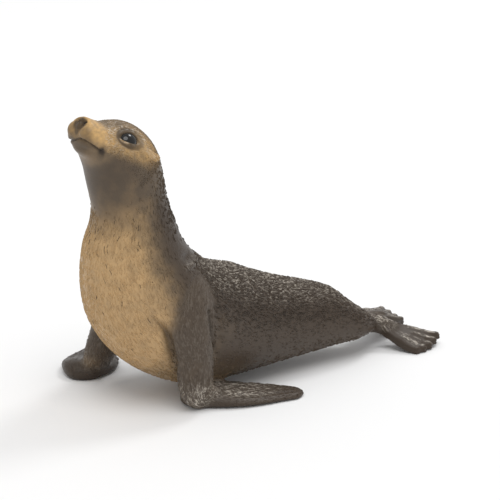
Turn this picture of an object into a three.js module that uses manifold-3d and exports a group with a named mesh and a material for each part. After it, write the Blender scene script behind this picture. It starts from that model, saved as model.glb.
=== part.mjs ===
// A sea lion sitting up on its foreflippers: a solid moulded toy figure, parted into its named members.
// Millimetres, +Z up. The animal faces -Y and its left side is +X; its hind end sways towards +X.
// The origin is on the floor, under the middle of the figure's bounding box.
import * as THREE from "three";
import { mergeVertices } from "three/addons/utils/BufferGeometryUtils.js";
import Module from "manifold-3d";

const wasm = await Module();
wasm.setup();

// ---------------------------------------------------------------- driving dimensions
const GAP = 0.3; // clearance between neighbouring solids
const SWAY_FROM = -10; // behind this Y the body's midline curves sideways
const SWAY_CURVATURE = 0.0072; // per mm, which carries the rump 9 mm to the left of the chest
const WRIST_LEVEL = 6.2; // height at which arm and foreflipper part
const MIDDLE = [-6.0, 6.76]; // X and Y of the bounding box's middle on the modelling axes

// Rings of the body from the nose to the rump. Each has its top and its underside as points (Y, Z) of the
// midline plane, its half-width, and how far up the ring is widest.
const BODY_RINGS = [
  { name: "nose", top: [-39.8, 68.3], under: [-41.5, 63.9], half: 3.3, widest: 0.48 },
  { name: "lips", top: [-38.6, 68.5], under: [-41.0, 61.9], half: 4.5, widest: 0.42 },
  { name: "muzzle", top: [-36.6, 67.6], under: [-39.4, 60.2], half: 5.3, widest: 0.42 },
  { name: "stop", top: [-34.4, 66.7], under: [-38.4, 58.3], half: 6.0, widest: 0.44 },
  { name: "eyes", top: [-31.8, 66.5], under: [-37.7, 56.4], half: 6.8, widest: 0.48 },
  { name: "brow", top: [-28.8, 66.1], under: [-37.2, 54.6], half: 7.5, widest: 0.5 },
  { name: "crown", top: [-25.7, 64.6], under: [-36.9, 52.8], half: 8.1, widest: 0.5 },
  { name: "ears", top: [-22.7, 61.8], under: [-36.6, 50.8], half: 8.4, widest: 0.5 },
  { name: "poll", top: [-20.7, 58.2], under: [-36.2, 48.5], half: 8.3, widest: 0.5 },
  { name: "nape", top: [-19.6, 54.0], under: [-35.8, 45.8], half: 8.2, widest: 0.5 },
  { name: "neck", top: [-18.5, 48.5], under: [-36.3, 42.2], half: 8.7, widest: 0.5 },
  { name: "collar", top: [-16.7, 43.1], under: [-37.9, 38.2], half: 9.9, widest: 0.5 },
  { name: "withers", top: [-14.8, 38.2], under: [-38.4, 33.2], half: 11.6, widest: 0.5 },
  { name: "shoulders", top: [-11.8, 34.4], under: [-38.1, 27.2], half: 13.3, widest: 0.5 },
  { name: "chest", top: [-9.0, 31.9], under: [-36.3, 20.0], half: 14.5, widest: 0.5 },
  { name: "breast", top: [-6.0, 29.9], under: [-31.9, 13.2], half: 14.9, widest: 0.5 },
  { name: "elbows", top: [-2.4, 28.7], under: [-25.2, 7.4], half: 14.8, widest: 0.48 },
  { name: "ribs", top: [2.2, 27.4], under: [-16.2, 2.8], half: 14.3, widest: 0.46 },
  { name: "belly", top: [8.0, 24.7], under: [-5.5, 1.4], half: 13.4, widest: 0.45 },
  { name: "flank", top: [14.8, 22.1], under: [6.0, 1.6], half: 11.9, widest: 0.45 },
  { name: "loin", top: [21.6, 20.0], under: [16.8, 2.1], half: 10.2, widest: 0.46 },
  { name: "hips", top: [28.2, 17.4], under: [26.5, 2.9], half: 8.6, widest: 0.48 },
  { name: "rump", top: [34.0, 12.6], under: [33.0, 3.5], half: 6.9, widest: 0.5 },
  { name: "tail root", top: [40.0, 9.5], under: [39.7, 4.0], half: 5.2, widest: 0.5 },
];

// Rings of the arms from the shoulder to the palm: the middle of each, its half-length fore and aft, and
// its half-thickness outwards (over) and inwards (under).
const LEFT_ARM = [
  { at: [6.8, -14.4, 33.0], fore: 5.0, over: 2.2, under: 4.0 },
  { at: [10.2, -18.6, 27.0], fore: 7.4, over: 4.1, under: 5.0 },
  { at: [11.7, -20.0, 20.5], fore: 7.0, over: 4.6, under: 4.4 },
  { at: [12.9, -19.5, 13.5], fore: 4.9, over: 4.0, under: 3.8 },
  { at: [13.1, -19.3, 7.5], fore: 4.5, over: 3.6, under: 3.6 },
  { at: [12.3, -17.6, 3.8], fore: 4.1, over: 2.8, under: 3.5 },
  { at: [12.0, -13.8, 2.0], fore: 2.8, over: 2.2, under: 2.8 },
];
const RIGHT_ARM = [
  { at: [-6.8, -14.6, 33.0], fore: 5.0, over: 2.2, under: 4.0 },
  { at: [-10.6, -19.2, 27.0], fore: 7.4, over: 4.1, under: 5.0 },
  { at: [-13.2, -21.0, 20.5], fore: 6.6, over: 4.4, under: 4.4 },
  { at: [-15.4, -22.2, 13.5], fore: 4.6, over: 3.7, under: 3.6 },
  { at: [-17.1, -23.4, 7.5], fore: 4.2, over: 3.4, under: 3.2 },
  { at: [-19.0, -23.4, 3.8], fore: 3.8, over: 2.8, under: 2.8 },
  { at: [-21.4, -22.6, 2.0], fore: 3.2, over: 2.2, under: 2.4 },
];

// The foreflippers' blades lie on the floor: the heel's place, the turn of the blade outwards from straight
// back in degrees, and its length.
const LEFT_BLADE = { heel: [9.5, -20.3], splay: 25, length: 28.6 };
const RIGHT_BLADE = { heel: [-20.8, -30.2], splay: 37, length: 22 };
// Rings of a blade: the share of its length, the shift of its middle towards the leading edge, its
// half-width and its thickness.
const BLADE_RINGS = [
  { share: 0.0, lead: -1.0, half: 3.2, thick: 3.2 },
  { share: 0.18, lead: -2.0, half: 5.4, thick: 4.0 },
  { share: 0.36, lead: -2.3, half: 6.7, thick: 3.2 },
  { share: 0.54, lead: -2.0, half: 6.6, thick: 2.4 },
  { share: 0.72, lead: -1.5, half: 5.4, thick: 2.0 },
  { share: 0.88, lead: -0.7, half: 3.6, thick: 1.8 },
  { share: 1.0, lead: -0.3, half: 2.3, thick: 1.6 },
];

// The hind flippers: the hip inside the rump, the ankle, and for each digit its turn from straight back
// towards +X in degrees, its length and the height of its tip.
const LEFT_HIND = {
  hip: [7.4, 37.5, 7.0],
  ankle: [8.4, 41.8, 5.8],
  digits: [
    { turn: 71, length: 11.2, tip: 0.75 },
    { turn: 61, length: 12.2, tip: 0.75 },
    { turn: 51, length: 13.2, tip: 1.0 },
    { turn: 42, length: 14.2, tip: 1.5 },
    { turn: 33, length: 15.2, tip: 2.0 },
  ],
};
const RIGHT_HIND = {
  hip: [6.2, 38.0, 7.2],
  ankle: [3.9, 42.0, 6.6],
  digits: [
    { turn: 8, length: 12.4, tip: 0.9 },
    { turn: -2, length: 12.7, tip: 2.7 },
    { turn: -12, length: 13.0, tip: 2.9 },
    { turn: -21, length: 13.1, tip: 3.5 },
    { turn: -30, length: 13.2, tip: 4.1 },
  ],
};
// Rings of a digit from the ankle to its tip: the share of its length and of its fall, its half-width and
// its half-thickness.
const DIGIT_RINGS = [
  { share: 0.3, fall: 0.4, half: 1.9, thick: 1.5 },
  { share: 0.62, fall: 0.8, half: 1.7, thick: 1.25 },
  { share: 0.88, fall: 1.0, half: 1.25, thick: 0.95 },
  { share: 1.0, fall: 1.0, half: 0.95, thick: 0.85 },
];

const TAIL_RINGS = [
  { at: [6.4, 36.5, 8.4], fore: 1.6, over: 1.1, under: 1.1 },
  { at: [6.9, 42.0, 8.0], fore: 1.4, over: 1.0, under: 1.0 },
  { at: [7.2, 45.8, 7.0], fore: 0.9, over: 0.7, under: 0.7 },
];

const EYE = { at: [4.5, -31.1, 62.1], radius: 2.5 };
const EAR_RINGS = [
  { at: [6.9, -27.2, 60.4], fore: 0.9, over: 0.8, under: 0.8 },
  { at: [8.1, -26.8, 59.8], fore: 1.1, over: 0.8, under: 0.8 },
  { at: [8.8, -26.3, 58.9], fore: 1.0, over: 0.7, under: 0.7 },
  { at: [9.1, -25.9, 58.0], fore: 0.7, over: 0.5, under: 0.5 },
];
const WHISKER_PAD = { at: [2.1, -38.9, 64.9], radii: [2.3, 2.2, 2.2] };
const CHIN = { at: [0, -38.8, 61.3], radii: [3.4, 2.4, 2.3] };

// ---------------------------------------------------------------- tools
// A smooth curve through rows of numbers of equal length.
function throughRows(rows) {
  const curves = [];
  for (let c = 0; c < rows[0].length; c += 3) {
    const points = rows.map((row) => new THREE.Vector3(row[c], row[c + 1], row[c + 2]));
    curves.push(new THREE.CatmullRomCurve3(points, false, "catmullrom", 0.5));
  }
  return (t) => curves.flatMap((curve) => curve.getPoint(t).toArray());
}

// How much of a loft's section is left near its ends, which are quarter ellipses over the shares `first`
// and `last` of its length.
function endRounding(t, [first, last]) {
  const a = Math.min(1, t / first);
  const b = Math.min(1, (1 - t) / last);
  return Math.sqrt(1 - (1 - a) ** 2) * Math.sqrt(1 - (1 - b) ** 2);
}

// The figure curves sideways: a point beside the straight midline moves with the curved one.
function sway(x, y, z) {
  const behind = Math.max(0, y - SWAY_FROM);
  const turn = Math.atan(SWAY_CURVATURE * behind);
  const aside = (SWAY_CURVATURE * behind ** 2) / 2;
  return new THREE.Vector3(aside + x * Math.cos(turn), y - x * Math.sin(turn), z);
}

// The solid inside a closed mesh, whichever way its faces are wound.
function solid(geometry) {
  geometry.deleteAttribute("normal");
  geometry.deleteAttribute("uv");
  const merged = mergeVertices(geometry);
  const vertProperties = new Float32Array(merged.attributes.position.array);
  const triVerts = new Uint32Array(merged.index.array);
  const made = new wasm.Manifold(new wasm.Mesh({ numProp: 3, vertProperties, triVerts }));
  if (made.volume() > 0) return made;
  triVerts.reverse();
  return new wasm.Manifold(new wasm.Mesh({ numProp: 3, vertProperties, triVerts }));
}

// A solid whose surface is surface(angle, t): a sphere with each vertex moved there.
function solidOver(surface, around, along) {
  const sphere = new THREE.SphereGeometry(1, around, along);
  const { position, uv } = sphere.attributes;
  for (let i = 0; i < position.count; i++) {
    const t = THREE.MathUtils.clamp(1 - uv.getY(i), 0, 1);
    const atPole = t === 0 || t === 1;
    const p = surface(atPole ? 0 : uv.getX(i) * 2 * Math.PI, t);
    position.setXYZ(i, p.x, p.y, p.z);
  }
  return solid(sphere);
}

function ball(centre, radii) {
  const sphere = new THREE.SphereGeometry(1, 14, 10);
  sphere.scale(...radii);
  sphere.translate(...centre);
  return solid(sphere);
}

// A limb: ellipses about a path. `above` is the way in which each ring's `over` is measured, and `grow`
// makes the limb that much larger all round.
function limb(rings, { above, around, along, ends, grow = 0 }) {
  const at = throughRows(rings.map((r) => [...r.at, r.fore, r.over, r.under]));
  const middleAt = (t) => new THREE.Vector3(...at(THREE.MathUtils.clamp(t, 0, 1)).slice(0, 3));
  const reference = new THREE.Vector3(...above);
  const surface = (angle, t) => {
    const [fore, over, under] = at(t).slice(3);
    const tangent = middleAt(t + 0.01).sub(middleAt(t - 0.01)).normalize();
    const across = new THREE.Vector3().crossVectors(tangent, reference).normalize();
    const outwards = new THREE.Vector3().crossVectors(across, tangent);
    const size = endRounding(t, ends);
    const thickness = Math.sin(angle) > 0 ? over : under;
    return middleAt(t)
      .addScaledVector(across, Math.cos(angle) * (fore + grow) * size)
      .addScaledVector(outwards, Math.sin(angle) * (thickness + grow) * size);
  };
  return solidOver(surface, around, along);
}

const onFloor = (made) => made.trimByPlane([0, 0, 1], 0);

// Parts a solid along a plane with a cut GAP wide: first the side that the normal points to.
function parted(made, normal, distance) {
  const back = normal.map((n) => -n);
  return [made.trimByPlane(normal, distance + GAP / 2), made.trimByPlane(back, GAP / 2 - distance)];
}

// ---------------------------------------------------------------- head, neck and trunk
const bodyAt = throughRows(BODY_RINGS.map((r) => [...r.top, ...r.under, r.half, r.widest]));

// Ellipses in the rings' planes, carried from the nose to the rump.
function bodySolid(grow) {
  const surface = (angle, t) => {
    const [topY, topZ, underY, underZ, half, widest] = bodyAt(t);
    const size = endRounding(t, [0.06, 0.05]);
    const height = Math.hypot(topY - underY, topZ - underZ);
    const share = Math.sin(angle) > 0 ? 1 - widest : widest;
    const rise = widest + Math.sin(angle) * (share + grow / height) * size;
    const across = Math.cos(angle) * (half + grow) * size;
    return sway(across, underY + (topY - underY) * rise, underZ + (topZ - underZ) * rise);
  };
  return solidOver(surface, 26, 52);
}

// The body's room is a little larger than the body, and is cut from what grows out of it.
const bodyRoom = bodySolid(GAP);

// Parts the body through one of its rings: first the side towards the nose.
function partedAt(made, name) {
  const { top, under } = BODY_RINGS.find((ring) => ring.name === name);
  const corners = [sway(0, ...under), sway(0, ...top), sway(-5, ...top)];
  const plane = new THREE.Plane().setFromCoplanarPoints(...corners);
  return parted(made, plane.normal.toArray(), -plane.constant);
}

const atSide = ([x, y, z], side) => [side * x, y, z];

function eye(side, grow = 0) {
  const radius = EYE.radius + grow;
  return ball(atSide(EYE.at, side), [radius, radius, radius]);
}

function ear(side) {
  const rings = EAR_RINGS.map((ring) => ({ ...ring, at: atSide(ring.at, side) }));
  const shape = { above: [side, 0, 0], around: 10, along: 7, ends: [0.2, 0.25] };
  return limb(rings, shape).subtract(bodyRoom);
}

function withFace(head) {
  let made = head.add(ball(CHIN.at, CHIN.radii));
  for (const side of [1, -1]) {
    made = made.add(ball(atSide(WHISKER_PAD.at, side), WHISKER_PAD.radii)).subtract(eye(side, GAP));
  }
  return made;
}

function trunkMembers() {
  const [head, belowHead] = partedAt(bodySolid(0), "poll");
  const [neck, belowNeck] = partedAt(belowHead, "withers");
  const [chest, behindChest] = partedAt(belowNeck, "ribs");
  const [belly, hindquarters] = partedAt(behindChest, "loin");
  return { head: withFace(head), neck, chest, belly, hindquarters };
}

// ---------------------------------------------------------------- arms and foreflippers
function blade({ heel, splay, length }, side) {
  const turn = THREE.MathUtils.degToRad(splay);
  const rings = BLADE_RINGS.map(({ share, lead, half, thick }) => {
    const outwards = Math.sin(turn) * share * length + Math.cos(turn) * lead;
    const backwards = Math.cos(turn) * share * length - Math.sin(turn) * lead;
    const middle = [heel[0] + side * outwards, heel[1] + backwards, 0.4 * thick];
    return { at: middle, fore: half, over: 0.6 * thick, under: 0.6 * thick };
  });
  return limb(rings, { above: [0, 0, 1], around: 14, along: 12, ends: [0.12, 0.12] });
}

function foreLimb(armRings, bladeSizes, side) {
  const arm = limb(armRings, { above: [side, 0, 0], around: 14, along: 12, ends: [0.14, 0.1] });
  const whole = onFloor(arm.add(blade(bladeSizes, side))).subtract(bodyRoom);
  return parted(whole, [0, 0, 1], WRIST_LEVEL);
}

// ---------------------------------------------------------------- hind flippers and tail
// Five digits side by side, run together from the ankle to near their tips.
function hindLimb({ hip, ankle, digits }, grow = 0) {
  const shank = [
    { at: hip, fore: 2.8, over: 2.0, under: 2.4 },
    { at: ankle, fore: 2.3, over: 2.0, under: 2.3 },
  ];
  const solids = digits.map(({ turn, length, tip }) => {
    const a = THREE.MathUtils.degToRad(turn);
    const rings = DIGIT_RINGS.map(({ share, fall, half, thick }) => ({
      at: [
        ankle[0] + Math.sin(a) * length * share,
        ankle[1] + Math.cos(a) * length * share,
        THREE.MathUtils.lerp(ankle[2], tip, fall),
      ],
      fore: half,
      over: thick,
      under: thick,
    }));
    const shape = { above: [0, 0, 1], around: 8, along: 7, ends: [0.08, 0.06], grow };
    return limb([...shank, ...rings], shape);
  });
  return solids.reduce((whole, digit) => whole.add(digit));
}

const tail = (grow) =>
  limb(TAIL_RINGS, { above: [0, 0, 1], around: 10, along: 7, ends: [0.15, 0.3], grow });

function rearMembers() {
  const besideTail = bodyRoom.add(tail(GAP));
  const left = onFloor(hindLimb(LEFT_HIND)).subtract(besideTail);
  const right = onFloor(hindLimb(RIGHT_HIND)).subtract(besideTail.add(hindLimb(LEFT_HIND, GAP)));
  return { left, right, tail: tail(0).subtract(bodyRoom) };
}

// ---------------------------------------------------------------- figure
const painted = (color, roughness) => new THREE.MeshStandardMaterial({ color, roughness, metalness: 0 });
const BROWN_FUR = { color: "#6f5f4f", roughness: 0.6 };
const TAN_FUR = { color: "#9a7e5c", roughness: 0.6 };
const BACK_FUR = { color: "#5b4f46", roughness: 0.6 };
const FLIPPER_SKIN = { color: "#50463d", roughness: 0.45 };
const EYE_GLOSS = { color: "#14110f", roughness: 0.08 };

const figure = new THREE.Group();
figure.position.set(-MIDDLE[0], -MIDDLE[1], 0);

function add(name, made, { color, roughness }) {
  const mesh = made.getMesh();
  const geometry = new THREE.BufferGeometry();
  geometry.setAttribute("position", new THREE.BufferAttribute(mesh.vertProperties, 3));
  geometry.setIndex(new THREE.BufferAttribute(mesh.triVerts, 1));
  const part = new THREE.Mesh(geometry, painted(color, roughness));
  part.name = name;
  figure.add(part);
}

const { head, neck, chest, belly, hindquarters } = trunkMembers();
add("head", head, TAN_FUR);
add("neck", neck, BROWN_FUR);
add("chest", chest, TAN_FUR);
add("belly", belly, BACK_FUR);
add("hindquarters", hindquarters, BACK_FUR);

for (const [name, side] of [["left", 1], ["right", -1]]) {
  add(`${name}_eye`, eye(side), EYE_GLOSS);
  add(`${name}_ear`, ear(side), TAN_FUR);
  const [arm, flipper] = side > 0 ? foreLimb(LEFT_ARM, LEFT_BLADE, 1) : foreLimb(RIGHT_ARM, RIGHT_BLADE, -1);
  add(`${name}_arm`, arm, BROWN_FUR);
  add(`${name}_foreflipper`, flipper, FLIPPER_SKIN);
}

const rear = rearMembers();
add("left_hind_flipper", rear.left, FLIPPER_SKIN);
add("right_hind_flipper", rear.right, FLIPPER_SKIN);
add("tail", rear.tail, BACK_FUR);

export default figure;
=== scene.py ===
"""The finish of a moulded and hand-painted PVC figure of a sea lion sitting up on its foreflippers.

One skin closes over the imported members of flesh, and the sculpted fur lies on it as many small raised
strokes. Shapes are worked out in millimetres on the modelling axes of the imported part: the animal faces
-Y, its left side is +X and +Z is up. They are moved to the frame, in metres, when a mesh is made.
"""
import math

import bpy
import numpy as np
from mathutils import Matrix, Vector


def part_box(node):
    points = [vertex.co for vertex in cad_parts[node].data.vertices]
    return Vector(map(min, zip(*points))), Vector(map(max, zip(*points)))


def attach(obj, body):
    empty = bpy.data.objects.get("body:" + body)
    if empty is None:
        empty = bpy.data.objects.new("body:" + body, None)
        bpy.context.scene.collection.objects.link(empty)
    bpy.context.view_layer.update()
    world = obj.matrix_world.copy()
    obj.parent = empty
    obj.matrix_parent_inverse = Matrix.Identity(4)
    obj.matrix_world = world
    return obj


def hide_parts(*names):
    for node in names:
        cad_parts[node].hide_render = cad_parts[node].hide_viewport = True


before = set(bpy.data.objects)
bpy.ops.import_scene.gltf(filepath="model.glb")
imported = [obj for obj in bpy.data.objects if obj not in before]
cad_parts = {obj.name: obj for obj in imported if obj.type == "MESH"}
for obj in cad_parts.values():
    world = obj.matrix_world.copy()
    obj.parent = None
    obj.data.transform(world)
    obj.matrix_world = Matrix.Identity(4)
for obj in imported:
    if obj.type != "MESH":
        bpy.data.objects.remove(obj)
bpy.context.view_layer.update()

MM = 0.001

# -------- driving dimensions, in millimetres
SWAY_FROM = -10  # behind this y the body's midline curves sideways
SWAY_CURVATURE = 0.0072
EYE_AT = (4.5, -31.1, 62.1)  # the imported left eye's middle
EYE_RADIUS = 2.5

# Rings of the body from the nose to the rump: the top (y, z), the underside (y, z), the half-width, and how
# far up the ring is widest.
BODY_RINGS = {
    "nose": (-39.8, 68.3, -41.5, 63.9, 3.3, 0.48),
    "lips": (-38.6, 68.5, -41.0, 61.9, 4.5, 0.42),
    "muzzle": (-36.6, 67.6, -39.4, 60.2, 5.3, 0.42),
    "stop": (-34.4, 66.7, -38.4, 58.3, 6.0, 0.44),
    "eyes": (-31.8, 66.5, -37.7, 56.4, 6.8, 0.48),
    "brow": (-28.8, 66.1, -37.2, 54.6, 7.5, 0.5),
    "crown": (-25.7, 64.6, -36.9, 52.8, 8.1, 0.5),
    "ears": (-22.7, 61.8, -36.6, 50.8, 8.4, 0.5),
    "poll": (-20.7, 58.2, -36.2, 48.5, 8.3, 0.5),
    "nape": (-19.6, 54.0, -35.8, 45.8, 8.2, 0.5),
    "neck": (-18.5, 48.5, -36.3, 42.2, 8.7, 0.5),
    "collar": (-16.7, 43.1, -37.9, 38.2, 9.9, 0.5),
    "withers": (-14.8, 38.2, -38.4, 33.2, 11.6, 0.5),
    "shoulders": (-11.8, 34.4, -38.1, 27.2, 13.3, 0.5),
    "chest": (-9.0, 31.9, -36.3, 20.0, 14.5, 0.5),
    "breast": (-6.0, 29.9, -31.9, 13.2, 14.9, 0.5),
    "elbows": (-2.4, 28.7, -25.2, 7.4, 14.8, 0.48),
    "ribs": (2.2, 27.4, -16.2, 2.8, 14.3, 0.46),
    "belly": (8.0, 24.7, -5.5, 1.4, 13.4, 0.45),
    "flank": (14.8, 22.1, 6.0, 1.6, 11.9, 0.45),
    "loin": (21.6, 20.0, 16.8, 2.1, 10.2, 0.46),
    "hips": (28.2, 17.4, 26.5, 2.9, 8.6, 0.48),
    "rump": (34.0, 12.6, 33.0, 3.5, 6.9, 0.5),
    "tail root": (40.0, 9.5, 39.7, 4.0, 5.2, 0.5),
}
RING_COUNT = len(BODY_RINGS)

# Rings of the arms from the shoulder to the palm: the middle, the half-length fore and aft, and the
# half-thickness outwards and inwards.
LEFT_ARM = [
    (6.8, -14.4, 33.0, 5.0, 2.2, 4.0),
    (10.2, -18.6, 27.0, 7.4, 4.1, 5.0),
    (11.7, -20.0, 20.5, 7.0, 4.6, 4.4),
    (12.9, -19.5, 13.5, 4.9, 4.0, 3.8),
    (13.1, -19.3, 7.5, 4.5, 3.6, 3.6),
    (12.3, -17.6, 3.8, 4.1, 2.8, 3.5),
    (12.0, -13.8, 2.0, 2.8, 2.2, 2.8),
]
RIGHT_ARM = [
    (-6.8, -14.6, 33.0, 5.0, 2.2, 4.0),
    (-10.6, -19.2, 27.0, 7.4, 4.1, 5.0),
    (-13.2, -21.0, 20.5, 6.6, 4.4, 4.4),
    (-15.4, -22.2, 13.5, 4.6, 3.7, 3.6),
    (-17.1, -23.4, 7.5, 4.2, 3.4, 3.2),
    (-19.0, -23.4, 3.8, 3.8, 2.8, 2.8),
    (-21.4, -22.6, 2.0, 3.2, 2.2, 2.4),
]
# The foreflippers' blades: the heel, the turn outwards from straight back in degrees, and the length.
LEFT_BLADE = {"heel": (9.5, -20.3), "splay": 25, "length": 28.6}
RIGHT_BLADE = {"heel": (-20.8, -30.2), "splay": 37, "length": 22}
# Rings of a blade: the share of its length, the shift towards the leading edge, half-width and thickness.
BLADE_RINGS = [
    (0.0, -1.0, 3.2, 3.2),
    (0.18, -2.0, 5.4, 4.0),
    (0.36, -2.3, 6.7, 3.2),
    (0.54, -2.0, 6.6, 2.4),
    (0.72, -1.5, 5.4, 2.0),
    (0.88, -0.7, 3.6, 1.8),
    (1.0, -0.3, 2.3, 1.6),
]
# The hind flippers: hip, ankle, and for each digit its turn, its length and the height of its tip.
LEFT_HIND = {
    "hip": (7.4, 37.5, 7.0),
    "ankle": (8.4, 41.8, 5.8),
    "digits": [(71, 11.2, 0.75), (61, 12.2, 0.75), (51, 13.2, 1.0), (42, 14.2, 1.5), (33, 15.2, 2.0)],
}
RIGHT_HIND = {
    "hip": (6.2, 38.0, 7.2),
    "ankle": (3.9, 42.0, 6.6),
    "digits": [(8, 12.4, 0.9), (-2, 12.7, 2.7), (-12, 13.0, 2.9), (-21, 13.1, 3.5), (-30, 13.2, 4.1)],
}
# Rings of a digit: the share of its length and of its fall, its half-width and half-thickness. Those of a
# claw: the place along the digit, the half-width and the half-height.
DIGIT_RINGS = [(0.3, 0.4, 1.9, 1.5), (0.62, 0.8, 1.7, 1.25), (0.88, 1.0, 1.25, 0.95), (1.0, 1.0, 0.95, 0.85)]
CLAW_RINGS = [(0.76, 0.12, 0.06), (0.8, 0.42, 0.24), (0.87, 0.38, 0.24), (0.93, 0.12, 0.1)]
# Rings of the tail and of the left ear, as of an arm.
TAIL_RINGS = [
    (6.4, 36.5, 8.4, 1.6, 1.1, 1.1),
    (6.9, 42.0, 8.0, 1.4, 1.0, 1.0),
    (7.2, 45.8, 7.0, 0.9, 0.7, 0.7),
]
EAR_RINGS = [
    (6.9, -27.2, 60.4, 0.9, 0.8, 0.8),
    (8.1, -26.8, 59.8, 1.1, 0.8, 0.8),
    (8.8, -26.3, 58.9, 1.0, 0.7, 0.7),
    (9.1, -25.9, 58.0, 0.7, 0.5, 0.5),
]
COAT_DEPTH = 0.2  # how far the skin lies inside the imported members, which reach to the tips of the strokes
FLIPPER_DEPTH = 0.05  # the same on the flippers, where the coat is worn thin

# The lofts that the skin closes over, in the order in which its vertices are marked.
BODY, LEFT_LIMB, RIGHT_LIMB, LEFT_FLIPPER, RIGHT_FLIPPER, TAIL, LEFT_EAR, RIGHT_EAR = range(8)
LEFT_FAN = list(range(8, 13))
RIGHT_FAN = list(range(13, 18))
FANS = LEFT_FAN + RIGHT_FAN


# From the modelling axes to the frame's, in millimetres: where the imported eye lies, less EYE_AT.
eye_low, eye_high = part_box("left_eye")
SHIFT = np.round(np.array((eye_low + eye_high) / 2) / MM - EYE_AT, 2)


def in_frame(points):
    """From millimetres on the modelling axes to metres in the frame."""
    return (points + SHIFT) * MM


def add_object(name, data):
    """An object of a mesh, a camera or a light, at the origin."""
    made = bpy.data.objects.new(name, data)
    bpy.context.scene.collection.objects.link(made)
    return made


# -------- camera
CAMERA_AZIMUTH = math.radians(50)
CAMERA_ELEVATION = math.radians(17)
CAMERA_DISTANCE = 0.450
CAMERA_TARGET = Vector(in_frame(np.array((9.0, 0.0, 33.0))))
CAMERA_LENS = 142.6


def make_camera():
    """A long lens looks at the target from the animal's left front, a little above it."""
    level = math.cos(CAMERA_ELEVATION)
    across = (math.sin(CAMERA_AZIMUTH) * level, -math.cos(CAMERA_AZIMUTH) * level)
    back = Vector((*across, math.sin(CAMERA_ELEVATION)))
    data = bpy.data.cameras.new("camera")
    data.lens = CAMERA_LENS
    data.sensor_width = 36.0
    data.clip_start = 0.01
    data.clip_end = 20.0
    camera = add_object("camera", data)
    camera.location = CAMERA_TARGET + back * CAMERA_DISTANCE
    camera.rotation_euler = back.to_track_quat("Z", "Y").to_euler()
    bpy.context.scene.camera = camera


make_camera()


# -------- curves and lofts
def size_of(v):
    """The lengths of vectors."""
    return np.linalg.norm(v, axis=-1)


def unit(v):
    """Vectors at a length of 1."""
    return v / np.maximum(size_of(v)[..., None], 1e-9)


def ramp(value, none, full):
    """0 up to `none`, 1 from `full` on, and a smooth step between them, which may run either way."""
    s = np.clip((value - none) / (full - none), 0, 1)
    return s * s * (3 - 2 * s)


def band(value, none, full, still_full, none_again):
    """A smooth step up and, further on, one down."""
    return ramp(value, none, full) * ramp(value, none_again, still_full)


def most(*shares):
    """The greatest of several shares at each place."""
    return np.maximum.reduce(np.broadcast_arrays(*shares))


def in_ellipsoid(points, middle, radii):
    """How far out each point lies: 0 at the ellipsoid's middle and 1 on its surface."""
    return size_of((points - np.array(middle)) / radii)


def through(rows, t):
    """A smooth curve through rows of numbers: uniform Catmull-Rom, which runs straight on at its ends.
    t goes from 0 at the first row to 1 at the last."""
    rows = np.asarray(rows, float)
    padded = np.vstack([2 * rows[0] - rows[1], rows, 2 * rows[-1] - rows[-2]])
    place = np.clip(t, 0, 1) * (len(rows) - 1)
    i = np.minimum(place.astype(int), len(rows) - 2)
    u = (place - i)[..., None]
    a, b, c, d = (padded[i + k] for k in range(4))
    return 0.5 * (2 * b + (c - a) * u + (2 * a - 5 * b + 4 * c - d) * u**2 + (3 * b - a - 3 * c + d) * u**3)


def end_rounding(t, first, last):
    """The share of a section that is left near a loft's ends, which are quarter ellipses."""
    a = np.minimum(1, t / first)
    b = np.minimum(1, (1 - t) / last)
    return np.sqrt(np.maximum(0, 1 - (1 - a) ** 2)) * np.sqrt(np.maximum(0, 1 - (1 - b) ** 2))


def sway(points):
    """A point beside the straight midline moves with the midline, which curves sideways behind the
    shoulders."""
    x, y, z = np.moveaxis(points, -1, 0)
    behind = np.maximum(0, y - SWAY_FROM)
    turn = np.arctan(SWAY_CURVATURE * behind)
    aside = SWAY_CURVATURE * behind**2 / 2
    return np.stack([aside + x * np.cos(turn), y - x * np.sin(turn), z], -1)


def grid(along, around):
    """Parameters of a closed loft: t runs from 0 to 1, closer together near both ends, and the angle once
    round."""
    t = (1 - np.cos(np.pi * np.linspace(0, 1, along))) / 2
    angle = np.linspace(0, 2 * np.pi, around, endpoint=False)
    return np.meshgrid(t, angle, indexing="ij")


def marked(points, member, t, angle, middle, reach):
    """A loft's points with what each tells the skin: its member, its place along and around it, the way the
    coat lies, and its place in the member drawn out straight, where a pattern can follow the coat. The last
    is (cos angle * reach, sin angle * reach, the length of the midline up to it)."""
    steps = size_of(np.diff(middle, axis=0))
    length = np.concatenate([[0], np.cumsum(steps)])[:, None] + 0 * t
    return {
        "points": points,
        "member": np.full((*t.shape, 3), float(member)),
        "place": np.stack([t, np.cos(angle), np.sin(angle)], -1),
        "lie": unit(np.gradient(points, axis=0)),
        "combed": np.stack([np.cos(angle) * reach, np.sin(angle) * reach, length], -1),
    }


def body_loft():
    """Ellipses in the rings' planes, carried from the nose to the rump: a point rises by the sine of its
    angle from the ring's underside to its top and goes aside by the cosine."""
    t, angle = grid(420, 280)
    rows = np.moveaxis(through(list(BODY_RINGS.values()), t), -1, 0)
    top_y, top_z, under_y, under_z, half, widest = rows
    size = end_rounding(t, 0.06, 0.05)
    height = np.hypot(top_y - under_y, top_z - under_z)
    share = np.where(np.sin(angle) > 0, 1 - widest, widest) - COAT_DEPTH / height
    rise = widest + np.sin(angle) * share * size
    across = np.cos(angle) * (half - COAT_DEPTH) * size
    y = under_y + (top_y - under_y) * rise
    z = under_z + (top_z - under_z) * rise
    middle = np.stack([0 * y, (under_y + top_y) / 2, (under_z + top_z) / 2], -1)
    return marked(sway(np.stack([across, y, z], -1)), BODY, t, angle, sway(middle)[:, 0], half)


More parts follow.
